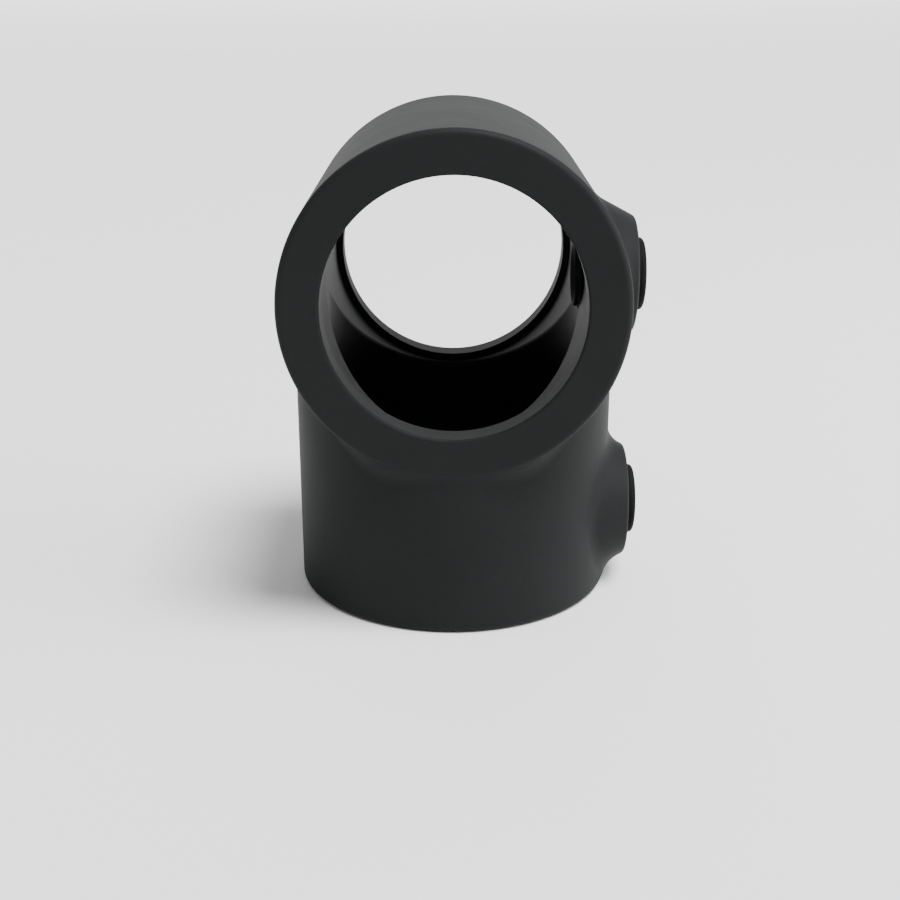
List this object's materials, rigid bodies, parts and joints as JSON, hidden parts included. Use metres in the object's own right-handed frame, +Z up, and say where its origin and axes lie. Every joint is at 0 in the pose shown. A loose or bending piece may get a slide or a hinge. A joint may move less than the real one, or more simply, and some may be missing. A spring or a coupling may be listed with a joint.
{
  "type": "tube clamp tee fitting",
  "caption": "Short cast tee that clamps an upright round tube's end under a tube passing through, each held by a recessed-key set screw in a tapered boss.",
  "frame": {"origin": "on the socket's axis, in the plane of the socket's mouth", "axes": "+Z up the socket's axis to the sleeve, +Y along the through tube, +X out through the two set screws"},
  "size_m": [0.0634, 0.059, 0.0871],
  "materials": {
    "powder_coated_iron": "satin black powder coat over cast iron, smooth",
    "black_steel": "black oxide, satin"
  },
  "bodies": {
    "casting": {"tee_casting": "powder_coated_iron"},
    "upper_screw": {"upper_set_screw": "black_steel"},
    "lower_screw": {"lower_set_screw": "black_steel"}
  },
  "joints": [
    {"name": "upper_screw_travel", "type": "slide", "parent": "casting", "child": "upper_screw", "axis": [1, 0, 0], "range_m": [-0.00134, 0.00668]},
    {"name": "lower_screw_travel", "type": "slide", "parent": "casting", "child": "lower_screw", "axis": [1, 0, 0], "range_m": [-0.00134, 0.00668]}
  ]
}
